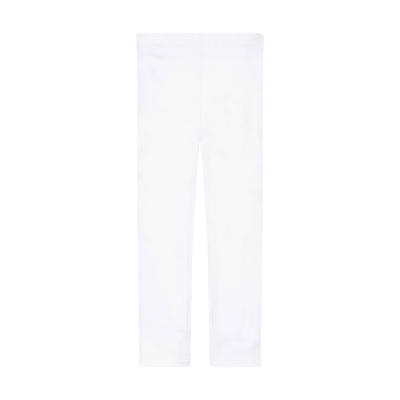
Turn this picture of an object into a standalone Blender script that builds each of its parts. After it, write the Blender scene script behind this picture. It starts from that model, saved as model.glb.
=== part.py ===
"""Plain leggings in a child's size, laid flat on a table with the front facing up.

X runs across the garment, towards the wearer's left leg. Y runs along it, from the hems to the
waist. Z is up, through the back layer and then the front layer. The origin lies on the table,
under the middle of the garment. All lengths are in metres.

Places on the cloth are given as "across" (the same as X) and "down" (the distance from the
waist edge towards the hems), which is how a pattern is marked out.

Each leg is one cut piece with no side seam. It starts at its front seam edge, crosses the front,
turns round the outer fold, comes back along the back and ends at its back seam edge. Above the
crotch those two edges are the centre front and centre back seams. Below it they meet each other
in the inseam, which rolls a little on to the front as the garment is laid out.
"""

import math
from collections import namedtuple

import bmesh
import bpy
import numpy as np

# Sizes of the garment as it lies
LENGTH = 0.640
RISE = 0.206
WAISTBAND_DEPTH = 0.0255
HEM_DEPTH = 0.020
SEAM_GAP = 0.0003

# Wall thicknesses: one layer of jersey, two layers round an elastic, and two layers turned up
CLOTH = 0.0010
WAISTBAND_WALL = 0.0024
HEM_WALL = 0.0020

# Radius of the fold down each side, on its outer skin
LEG_FOLD = 0.0021
WAISTBAND_FOLD = 0.0028
HEM_FOLD = 0.0022

# How the corners are rounded where an open end meets a side fold
WAIST_CORNER = 0.0060
HEM_CORNER = 0.0048

# Gathers that the elastic draws into the waistband, and the row of stitches that flattens them
GATHERS_ON_FRONT = 36
GATHER_HEIGHT = 0.00065
BAND_STITCHES_DOWN = 0.0240
BAND_STITCHES_WIDTH = 0.0018
STITCHES_FLATTEN = 0.7

# Slow waves that make the gathers uneven: their strength, length over 2 pi, and start
Wave = namedtuple("Wave", "strength length start")
GATHERS_WANDER = (Wave(0.5, 0.0082, 0.0), Wave(0.4, 0.0213, 1.0))
GATHERS_UNEVEN = (Wave(0.20, 0.0125, 0.7), Wave(0.12, 0.0049, 0.0))
GATHERS_MEAN = 0.68

# The waviness of a hem that was stretched a little as it was stitched
HEM_EASE_HEIGHT = 0.00018
HEM_EASE = Wave(1.0, 0.0062, 1.0)

# How the front lies: it stands up beside a fold, and is pressed flat along the centre front seam
FOLD_REACH = 0.011
CENTRE_SEAM_REACH = 0.016
CENTRE_SEAM_FADE = 0.020
SEAM_VALLEY_DEPTH = 0.0004
SEAM_VALLEY_WIDTH = 0.0018
LOWEST_FRONT = 2 * CLOTH + SEAM_GAP

# The soft folds of the front fade towards a side fold, and this part of the fade is never reached
SOFT_FOLD_FADE = 0.006
SOFT_FOLD_KEPT = 0.35

# The seam allowance that lies under the front beside the centre front seam and the inseams
ALLOWANCE_WIDTH = 0.0085
ALLOWANCE_HEIGHT = 0.00045
ALLOWANCE_RISE = 0.0015
ALLOWANCE_FALL = 0.0030
INSEAM_ALLOWANCE_START = 0.012
INSEAM_ALLOWANCE_FADE = 0.030

# Round the crotch: front and back draw together above it, and the inseam rolls on to the front below it
CLOSING_LENGTH = 0.006
INSEAM_ROLL = 0.0058
ROLL_LENGTH = 0.055

Outline = namedtuple("Outline", "down outer inner")
OUTLINE = (
    # down, half width to the outer fold, half width of the gap between the legs
    Outline(0.000, 0.1223, 0.0000),
    Outline(0.021, 0.1227, 0.0000),
    Outline(0.036, 0.1219, 0.0000),
    Outline(0.060, 0.1216, 0.0000),
    Outline(0.120, 0.1208, 0.0000),
    Outline(0.200, 0.1206, 0.0000),
    Outline(0.206, 0.1206, 0.0000),
    Outline(0.210, 0.1206, 0.0008),
    Outline(0.216, 0.1206, 0.0014),
    Outline(0.230, 0.1206, 0.0023),
    Outline(0.249, 0.1206, 0.0038),
    Outline(0.285, 0.1205, 0.0066),
    Outline(0.325, 0.1204, 0.0096),
    Outline(0.365, 0.1202, 0.0119),
    Outline(0.405, 0.1196, 0.0136),
    Outline(0.455, 0.1190, 0.0153),
    Outline(0.495, 0.1187, 0.0158),
    Outline(0.540, 0.1182, 0.0168),
    Outline(0.590, 0.1176, 0.0177),
    Outline(0.640, 0.1168, 0.0182),
)

Lay = namedtuple("Lay", "down front_height")
LAY = (
    # down, height of the front's outer skin above the table in the middle of a leg
    Lay(0.0250, 0.0049),
    Lay(0.0340, 0.0045),
    Lay(0.0480, 0.0037),
    Lay(0.0700, 0.0034),
    Lay(0.1500, 0.0033),
    Lay(0.2000, 0.0037),
    Lay(0.2350, 0.0034),
    Lay(0.4000, 0.0032),
    Lay(0.5700, 0.0033),
    Lay(0.6000, 0.0037),
    Lay(0.6200, 0.0043),
)

Fold = namedtuple("Fold", "across down angle length width height")
FOLDS = (
    # middle of the fold, angle in degrees towards the hem, length, width, height (a trough is negative)
    Fold(-0.0860, 0.0440, 6, 0.054, 0.0130, -0.00085),
    Fold(-0.0800, 0.0570, 12, 0.050, 0.0110, 0.00045),
    Fold(-0.0890, 0.0760, 68, 0.034, 0.0110, -0.00070),
    Fold(-0.1120, 0.0990, 90, 0.056, 0.0160, -0.00058),
    Fold(-0.0730, 0.1480, 18, 0.024, 0.0120, -0.00032),
    Fold(0.0930, 0.0420, 78, 0.034, 0.0110, -0.00060),
    Fold(0.0880, 0.1700, 91, 0.092, 0.0190, -0.00058),
    Fold(0.0450, 0.1280, 10, 0.036, 0.0130, -0.00042),
    Fold(0.0175, 0.1960, 8, 0.032, 0.0160, -0.00040),
    Fold(0.0135, 0.2410, 77, 0.050, 0.0100, -0.00042),
    Fold(0.0410, 0.2340, 14, 0.028, 0.0120, -0.00055),
    Fold(-0.1120, 0.2290, 90, 0.034, 0.0180, -0.00040),
    Fold(-0.1130, 0.2700, 78, 0.036, 0.0110, -0.00060),
    Fold(0.1070, 0.3520, 92, 0.090, 0.0180, -0.00036),
    Fold(0.0260, 0.5300, 90, 0.064, 0.0130, -0.00052),
    Fold(-0.0240, 0.5800, 90, 0.044, 0.0110, -0.00060),
    Fold(-0.0350, 0.5940, 96, 0.032, 0.0120, -0.00048),
    Fold(0.0440, 0.5900, 3, 0.034, 0.0180, -0.00072),
    Fold(0.0770, 0.5880, 14, 0.024, 0.0120, -0.00052),
    Fold(0.1040, 0.6020, 135, 0.034, 0.0160, -0.00080),
)

# Rows of points along a leg, as distances down: closest where the seams draw together
LEG_ROWS = (
    0.0330, 0.0400, 0.0480, 0.0580, 0.0720, 0.0920, 0.1220, 0.1520, 0.1760, 0.1900,
    0.1970, 0.2000, 0.2020, 0.2040, 0.2060, 0.2080, 0.2110, 0.2150, 0.2200, 0.2260,
    0.2330, 0.2410, 0.2510, 0.2650, 0.2870, 0.3200, 0.3600, 0.4050, 0.4500, 0.4950,
    0.5300, 0.5600, 0.5840, 0.6040,
)  # fmt: skip

# Columns of points round a leg, and how far from its two seam edges the closer ones reach
FRONT_EDGE_STEPS = (0.0, 0.0011, 0.0022, 0.0034, 0.0055, 0.0085, 0.0115)
FRONT_COLUMNS = 16
FOLD_COLUMNS = 6
BACK_COLUMNS = 4
BACK_EDGE = 0.005
BACK_EDGE_COLUMNS = 12

Row = namedtuple("Row", "from_edge drawn_in")
ROUNDED_EDGE = (
    # distance from an open edge, and the share of half the wall by which each skin is drawn in
    Row(0.0000, 0.80),
    Row(0.0005, 0.34),
    Row(0.0016, 0.00),
)

Ring = namedtuple("Ring", "edge inwards depth wall fold corner front_columns back_columns ease")
BAND_COLUMNS = 4 * GATHERS_ON_FRONT
WAISTBAND = Ring(0.0, 1, WAISTBAND_DEPTH, WAISTBAND_WALL, WAISTBAND_FOLD, WAIST_CORNER, BAND_COLUMNS, 14, 0)
HEM = Ring(LENGTH, -1, HEM_DEPTH, HEM_WALL, HEM_FOLD, HEM_CORNER, 18, 10, 0.7)


def curve_through(table, column, at):
    """The named column of a table at distances `at`, on a smooth curve through its rows."""
    down = np.array([row.down for row in table])
    value = np.array([getattr(row, column) for row in table])
    slope = np.gradient(value, down)
    at = np.clip(np.asarray(at, float), down[0], down[-1])
    low = np.clip(np.searchsorted(down, at, side="right") - 1, 0, len(down) - 2)
    step = down[low + 1] - down[low]
    t = (at - down[low]) / step
    return (
        (1 + 2 * t) * (1 - t) ** 2 * value[low]
        + t * (1 - t) ** 2 * step * slope[low]
        + t**2 * (3 - 2 * t) * value[low + 1]
        + t**2 * (t - 1) * step * slope[low + 1]
    )


def smooth_step(value):
    """0 below 0 and 1 above 1, with a level start and end."""
    value = np.clip(value, 0.0, 1.0)
    return value * value * (3 - 2 * value)


def bell(value):
    """1 at 0, falling away smoothly on both sides."""
    return np.exp(-(value**2))


def spread(length, count, ease=0.0):
    """count + 1 places along a length. ease draws them closer together near both ends."""
    t = np.linspace(0, 1, count + 1)
    return length * (t - ease * np.sin(2 * math.pi * t) / (2 * math.pi))


def racetrack(along, inner, outer, radius):
    """Points (x, z) and outward normals on the section of a tube that lies flat.

    along is the distance round the section. It is zero half way up the inner fold, and runs up
    on to the front, across it, round the outer fold and back along the table.
    """
    quarter = math.pi * radius / 2
    flat = outer - inner - 2 * radius
    corners = np.cumsum([0, quarter, flat, 2 * quarter, flat, quarter])
    along = np.mod(along, corners[-1])
    turned = np.interp(along, corners, np.array([0, 1, 1, 3, 3, 4]) * math.pi / 2)
    slid = np.interp(along, corners, [0, 0, 1, 1, 0, 0])
    normal = np.stack([-np.cos(turned), np.sin(turned)], axis=-1)
    x = inner + radius + slid * flat + radius * normal[..., 0]
    z = radius + radius * normal[..., 1]
    return np.stack([x, z], axis=-1), normal


def front_share(z, radius):
    """How much of a raise of the front a point takes: none up to half way up a fold, all on the front."""
    return smooth_step((z - radius) / radius)


def fold_relief(across, down):
    """Height that the soft folds add to the front: each fades along its line and beside it."""
    height = np.zeros_like(across)
    for fold in FOLDS:
        angle = math.radians(fold.angle)
        dx = across - fold.across
        dy = down - fold.down
        lengthwise = (dx * math.cos(angle) + dy * math.sin(angle)) / (fold.length / 2)
        sideways = (dy * math.cos(angle) - dx * math.sin(angle)) / (fold.width / 2)
        height += fold.height * bell(lengthwise) * bell(sideways)
    return height


def allowance_relief(beside):
    """The step where a seam allowance lies under the front, at a distance `beside` its seam."""
    rise = smooth_step(beside / ALLOWANCE_RISE)
    fall = 1 - smooth_step((beside - ALLOWANCE_WIDTH) / ALLOWANCE_FALL)
    return ALLOWANCE_HEIGHT * rise * fall


def leg_front_height(side, across, down, inner, outer):
    """Height of the front's outer skin above the table."""
    from_fold = np.minimum(np.abs(across) - inner, outer - np.abs(across))
    middle = curve_through(LAY, "front_height", down)
    height = middle + (2 * LEG_FOLD - middle) * bell(from_fold / FOLD_REACH)
    # Above the crotch the seam is pressed flat. Its allowance is turned towards the wearer's left.
    above = smooth_step((RISE - down) / CENTRE_SEAM_FADE)
    height += above * (middle - height) * bell(across / CENTRE_SEAM_REACH)
    height -= above * SEAM_VALLEY_DEPTH * bell(across / SEAM_VALLEY_WIDTH)
    if side > 0:
        height += above * allowance_relief(across)
    # Below the crotch each inseam's allowance is turned outwards.
    below = smooth_step((down - RISE - INSEAM_ALLOWANCE_START) / INSEAM_ALLOWANCE_FADE)
    height += below * allowance_relief(np.abs(across) - inner - INSEAM_ROLL)
    height += fold_relief(across, down) * smooth_step(from_fold / SOFT_FOLD_FADE + SOFT_FOLD_KEPT)
    return np.maximum(height, LOWEST_FRONT)


def closing(down):
    """0 where front and back lie apart at the centre seams, rising to 1 at the crotch."""
    return float(np.clip((down - RISE + CLOSING_LENGTH) / CLOSING_LENGTH, 0, 1))


def leg_inner(down):
    """Where the inner fold would be. Above the crotch it keeps both seam edges beside the middle."""
    if down >= RISE:
        return max(float(curve_through(OUTLINE, "inner", down)), SEAM_GAP / 2)
    return SEAM_GAP / 2 - LEG_FOLD * (1 - math.sin(closing(down) * math.pi / 2))


def leg_columns(down, inner, outer):
    """Distances round the section at which a row has its points, from front to back seam edge."""
    quarter = math.pi * LEG_FOLD / 2
    flat = outer - inner - 2 * LEG_FOLD
    whole = 2 * flat + 4 * quarter
    if down >= RISE:
        rolled = (quarter + INSEAM_ROLL) * smooth_step((down - RISE) / ROLL_LENGTH)
        first = rolled + SEAM_GAP / 2
        last = whole + rolled - SEAM_GAP / 2
    else:
        first = max((1 - closing(down)) * quarter, SEAM_GAP / 2)
        last = whole - first
    front_end = quarter + flat
    back_start = front_end + 2 * quarter
    back_edge = whole - quarter - BACK_EDGE
    steps = first + np.array(FRONT_EDGE_STEPS)
    return np.concatenate(
        [
            steps,
            np.linspace(steps[-1], front_end, FRONT_COLUMNS + 1)[1:],
            np.linspace(front_end, back_start, FOLD_COLUMNS + 1)[1:],
            np.linspace(back_start, back_edge, BACK_COLUMNS + 1)[1:],
            np.linspace(back_edge, last, BACK_EDGE_COLUMNS + 1)[1:],
        ]
    )


def leg_skins(side):
    """Outer and inner skins of a leg, as grids of points. side is 1 on the wearer's left, or -1."""
    top = WAISTBAND_DEPTH + SEAM_GAP
    bottom = LENGTH - HEM_DEPTH - SEAM_GAP
    outer_skin, inner_skin = [], []
    for down in (top, *LEG_ROWS, bottom):
        inner = leg_inner(down)
        outer = float(curve_through(OUTLINE, "outer", down))
        points, normals = racetrack(leg_columns(down, inner, outer), inner, outer, LEG_FOLD)
        across = side * points[:, 0]
        height = leg_front_height(side, across, down, max(inner, 0.0), outer)
        lift = front_share(points[:, 1], LEG_FOLD) * (height - 2 * LEG_FOLD)
        for skin, depth in ((outer_skin, 0.0), (inner_skin, CLOTH)):
            x = side * (points[:, 0] - depth * normals[:, 0])
            y = np.full_like(x, LENGTH / 2 - down)
            z = points[:, 1] - depth * normals[:, 1] + lift
            skin.append(np.stack([x, y, z], axis=-1))
    return np.array(outer_skin), np.array(inner_skin)


def waves(terms, across):
    """The sum of a few waves along a seam or an edge."""
    return sum(term.strength * np.sin(across / term.length + term.start) for term in terms)


def gathers(across, down):
    """Ridges that the elastic draws up across the waistband, uneven in place and height."""
    pitch = 2 * OUTLINE[0].outer / GATHERS_ON_FRONT
    ridge = 0.5 + 0.5 * np.cos(2 * math.pi * across / pitch + waves(GATHERS_WANDER, across))
    uneven = GATHERS_MEAN + waves(GATHERS_UNEVEN, across)
    stitched = 1 - STITCHES_FLATTEN * bell((down - BAND_STITCHES_DOWN) / BAND_STITCHES_WIDTH)
    return GATHER_HEIGHT * (uneven * stitched * ridge - 0.5)


def hem_ease(across, down):
    """The waviness of a hem, which is greatest half way up it."""
    return HEM_EASE_HEIGHT * waves((HEM_EASE,), across) * np.sin((LENGTH - down) / HEM_DEPTH * math.pi)


def ring_columns(ring, flat):
    """Distances round a ring's section at which each of its rows has its points."""
    quarter = math.pi * ring.fold / 2
    return np.concatenate(
        [
            spread(quarter, 3)[:-1],
            quarter + spread(flat, ring.front_columns, ring.ease),
            quarter + flat + spread(2 * quarter, 6)[1:],
            3 * quarter + flat + spread(flat, ring.back_columns, 0.8)[1:],
            3 * quarter + 2 * flat + spread(quarter, 3)[1:-1],
        ]
    )


def ring_skins(ring, side, edges, relief):
    """Skins of a short tube of cloth that runs inwards from an open edge of the garment.

    edges(down) gives where its two folds lie, and relief(across, down) how far the front's outer
    skin is raised. The wall's inside stays plain.
    """
    inner_rows = [Row(share * ring.depth, 0.0) for share in (0.47, 0.83, 1.0)]
    outer_skin, inner_skin = [], []
    for row in (*ROUNDED_EDGE, *inner_rows):
        down = ring.edge + ring.inwards * row.from_edge
        inner, outer = edges(down)
        flat = outer - inner - 2 * ring.fold
        points, normals = racetrack(ring_columns(ring, flat), inner, outer, ring.fold)
        from_fold = np.minimum(outer - points[:, 0], points[:, 0] - inner)
        inside = np.clip(1 - from_fold / ring.corner, 0, 1)
        rounding = ring.corner * (1 - np.sqrt(1 - inside**2)) * (1 - row.from_edge / ring.depth) ** 2
        raised = front_share(points[:, 1], ring.fold) * relief(side * points[:, 0], down)
        drawn_in = row.drawn_in * ring.wall / 2
        for skin, depth, lift in ((outer_skin, drawn_in, raised), (inner_skin, ring.wall - drawn_in, 0.0)):
            x = side * (points[:, 0] - depth * normals[:, 0])
            y = LENGTH / 2 - down - ring.inwards * rounding
            z = points[:, 1] - depth * normals[:, 1] + lift
            skin.append(np.stack([x, y, z], axis=-1))
    return np.array(outer_skin), np.array(inner_skin)


def waistband_edges(down):
    outer = float(curve_through(OUTLINE, "outer", down))
    return -outer, outer


def hem_edges(down):
    return float(curve_through(OUTLINE, "inner", down)), float(curve_through(OUTLINE, "outer", down))


def wall_object(name, skins, closed, material, collection):
    """A cloth wall between two skins of the same grid.

    The skins are joined along their first and last rows. Where the grid doesn't close on itself,
    they are joined along their first and last columns too, which are the cloth's seam edges.
    """
    rows, columns, _ = skins[0].shape
    builder = bmesh.new()
    outer, inner = [[[builder.verts.new(point) for point in row] for row in skin] for skin in skins]
    last_span = columns if closed else columns - 1
    for a in range(last_span):
        b = (a + 1) % columns
        for skin in (outer, inner):
            for upper, lower in zip(skin, skin[1:]):
                builder.faces.new((upper[a], upper[b], lower[b], lower[a]))
        for row in (0, rows - 1):
            builder.faces.new((outer[row][a], outer[row][b], inner[row][b], inner[row][a]))
    if not closed:
        for a in (0, columns - 1):
            for c, d in zip(range(rows - 1), range(1, rows)):
                builder.faces.new((outer[c][a], outer[d][a], inner[d][a], inner[c][a]))
    bmesh.ops.recalc_face_normals(builder, faces=builder.faces)
    mesh = bpy.data.meshes.new(name)
    builder.to_mesh(mesh)
    builder.free()
    mesh.shade_smooth()
    mesh.set_sharp_from_angle(angle=math.radians(50))
    mesh.materials.append(material)
    collection.objects.link(bpy.data.objects.new(name, mesh))


def jersey(name, colour):
    """A plain matt cloth."""
    material = bpy.data.materials.new(name)
    material.use_nodes = True
    shader = material.node_tree.nodes["Principled BSDF"]
    shader.inputs["Base Color"].default_value = (*colour, 1.0)
    shader.inputs["Roughness"].default_value = 0.85
    shader.inputs["Metallic"].default_value = 0.0
    return material


def clear_scene():
    for old in list(bpy.data.objects):
        bpy.data.objects.remove(old)


def main():
    clear_scene()
    collection = bpy.data.collections.new("Leggings")
    bpy.context.scene.collection.children.link(collection)
    white = (0.84, 0.84, 0.86)
    waistband = ring_skins(WAISTBAND, 1, waistband_edges, gathers)
    wall_object("waistband", waistband, True, jersey("White jersey over elastic", white), collection)
    for name, side in (("left", 1), ("right", -1)):
        leg = leg_skins(side)
        wall_object(name + "_leg", leg, False, jersey("White jersey, " + name + " leg", white), collection)
        hem = ring_skins(HEM, side, hem_edges, hem_ease)
        wall_object(name + "_hem", hem, True, jersey("White jersey, " + name + " hem", white), collection)


main()
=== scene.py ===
# %% [markdown]
# # A pair of plain leggings, laid flat
#
# The real object is a pair of children's leggings in fine white cotton jersey. Someone has laid
# it on its back, smoothed it with both hands and photographed it from straight above. Nearly
# everything that the eye reads there is shallow relief under soft light: two rounded side folds,
# a gathered waist, a few sewn lines and some creases that the hands left behind.
#
# So the lesson is about relief. One skin is worked out for the whole garment, as a function of
# where you are on the cloth, and each sewn piece is a stretch of that skin with its own thickness.
#
# The construction comes as a fixed frame, which the next cell loads. Its solids stay where they
# are, and the pieces made here replace them for the eye.

# %% Load the frame
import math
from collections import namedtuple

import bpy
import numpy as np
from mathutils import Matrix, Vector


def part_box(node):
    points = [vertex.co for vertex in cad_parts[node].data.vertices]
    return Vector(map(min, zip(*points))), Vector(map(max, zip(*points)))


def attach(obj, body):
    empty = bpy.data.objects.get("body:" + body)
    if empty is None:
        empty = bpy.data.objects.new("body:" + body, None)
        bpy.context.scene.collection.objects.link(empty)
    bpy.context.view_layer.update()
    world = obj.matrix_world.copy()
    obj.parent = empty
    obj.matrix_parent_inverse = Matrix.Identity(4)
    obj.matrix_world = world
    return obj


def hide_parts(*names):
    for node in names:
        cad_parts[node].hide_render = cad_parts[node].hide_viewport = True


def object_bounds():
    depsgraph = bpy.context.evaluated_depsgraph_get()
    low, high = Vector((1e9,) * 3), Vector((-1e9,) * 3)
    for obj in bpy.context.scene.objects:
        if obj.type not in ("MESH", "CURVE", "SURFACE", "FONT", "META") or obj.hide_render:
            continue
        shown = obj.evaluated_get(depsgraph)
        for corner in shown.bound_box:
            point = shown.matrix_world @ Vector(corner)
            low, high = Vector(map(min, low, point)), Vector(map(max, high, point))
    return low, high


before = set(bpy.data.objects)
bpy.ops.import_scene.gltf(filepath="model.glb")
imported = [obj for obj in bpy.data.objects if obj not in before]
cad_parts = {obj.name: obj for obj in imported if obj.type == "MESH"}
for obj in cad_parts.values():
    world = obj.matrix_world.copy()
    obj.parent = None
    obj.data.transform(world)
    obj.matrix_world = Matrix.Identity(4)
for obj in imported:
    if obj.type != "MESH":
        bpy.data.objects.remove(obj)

# %% [markdown]
# ## Sizes
#
# Every length that the frame already knows is read from it, so the dressing always fits. Places on
# the cloth are given the way a pattern cutter marks them: `across` from the middle (positive towards
# the wearer's left, which is the picture's right) and `down` from the waist edge. All are in metres.

cad_low, cad_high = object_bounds()
WAIST_Y = cad_high.y
LENGTH = cad_high.y - cad_low.y
BAND_DEPTH = WAIST_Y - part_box("waistband")[0].y
HEM_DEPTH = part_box("left_hem")[1].y - cad_low.y
SEAM_GAP = 0.00003  # what a sewn seam leaves open at its bottom
RISE = 0.2060  # waist edge to crotch

CLOTH = 0.0010  # one layer of jersey, with its soft surface
BAND_WALL = 0.0024  # two layers round a 25 mm elastic
HEM_WALL = 0.0020  # two layers, turned up

for part, size in (("length", LENGTH), ("waistband", BAND_DEPTH), ("hems", HEM_DEPTH)):
    print("%s %.1f mm" % (part, 1000 * size))

# %% [markdown]
# ## Two tables for the large form
#
# A flat garment has an outline and a height. The first table holds the outline: the half width out to
# the side fold, and the half width of the gap between the legs. The second one holds how it lies: how
# tightly the side folds turn, and how high the front stands in the middle of a leg. The front is
# highest where many layers meet, at the waistband, the crotch and the hems.
#
# A smooth curve through a table's rows needs few rows. A Hermite curve is used, because it passes
# through each row and takes its slope from the neighbours. The finer relief needs only two more shapes:
# a smooth step, and a hump with the form of a bell curve.

# %% Outline and lay
Outline = namedtuple("Outline", "down outer inner")
OUTLINE = tuple(Outline(*row) for row in (
    # down, half width to the outer fold, half width of the gap between the legs
    (0.000, 0.1223, 0.0000),
    (0.021, 0.1227, 0.0000),
    (0.036, 0.1219, 0.0000),
    (0.060, 0.1216, 0.0000),
    (0.120, 0.1208, 0.0000),
    (0.200, 0.1206, 0.0000),
    (0.206, 0.1206, 0.0000),
    (0.210, 0.1206, 0.0008),
    (0.216, 0.1206, 0.0014),
    (0.230, 0.1206, 0.0023),
    (0.249, 0.1206, 0.0038),
    (0.285, 0.1205, 0.0066),
    (0.325, 0.1204, 0.0096),
    (0.365, 0.1202, 0.0119),
    (0.405, 0.1196, 0.0136),
    (0.455, 0.1190, 0.0153),
    (0.495, 0.1187, 0.0158),
    (0.540, 0.1182, 0.0168),
    (0.590, 0.1176, 0.0177),
    (0.640, 0.1168, 0.0182),
))

Lay = namedtuple("Lay", "down fold front")
LAY = tuple(Lay(*row) for row in (
    # down, radius of the side folds, height of the front above the table in the middle of a leg
    (0.000, 0.00280, 0.0056),
    (0.016, 0.00280, 0.0056),
    (0.026, 0.00268, 0.0053),
    (0.036, 0.00236, 0.0045),
    (0.050, 0.00216, 0.0037),
    (0.072, 0.00210, 0.0034),
    (0.150, 0.00210, 0.0033),
    (0.200, 0.00155, 0.0035),
    (0.220, 0.00150, 0.0034),
    (0.280, 0.00195, 0.0033),
    (0.400, 0.00210, 0.0032),
    (0.570, 0.00210, 0.0033),
    (0.602, 0.00214, 0.0037),
    (0.618, 0.00220, 0.0043),
    (0.640, 0.00220, 0.0044),
))


def curve_through(table, column, at):
    """The named column at distances `at`: cubic pieces that share their slope at each row."""
    down = np.array([row.down for row in table])
    value = np.array([getattr(row, column) for row in table])
    slope = np.gradient(value, down)
    at = np.clip(at, down[0], down[-1])
    low = np.clip(np.searchsorted(down, at, side="right") - 1, 0, len(down) - 2)
    step = down[low + 1] - down[low]
    t = (at - down[low]) / step
    return (
        (1 + 2 * t) * (1 - t) ** 2 * value[low]
        + t * (1 - t) ** 2 * step * slope[low]
        + t**2 * (3 - 2 * t) * value[low + 1]
        + t**2 * (t - 1) * step * slope[low + 1]
    )


def smooth_step(value):
    """3v^2 - 2v^3 between 0 and 1, and level outside them."""
    value = np.clip(value, 0.0, 1.0)
    return value * value * (3 - 2 * value)


def bell(value):
    """exp(-v^2): 1 at 0, falling away smoothly on both sides."""
    return np.exp(-np.square(value))


def rises(value, start, length):
    """0 up to `start` and 1 from `start` + `length` on, with a smooth step between them."""
    return smooth_step((value - start) / length)


Hump = namedtuple("Hump", "height at width")


def humps(place, *shapes):
    """The sum of a few humps, each height * bell(distance from its middle / width)."""
    return sum(hump.height * bell((place - hump.at) / hump.width) for hump in shapes)


HIPS = np.array([0.12])
print("half width at the hips %.1f mm" % (1000 * curve_through(OUTLINE, "outer", HIPS)[0]))
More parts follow.
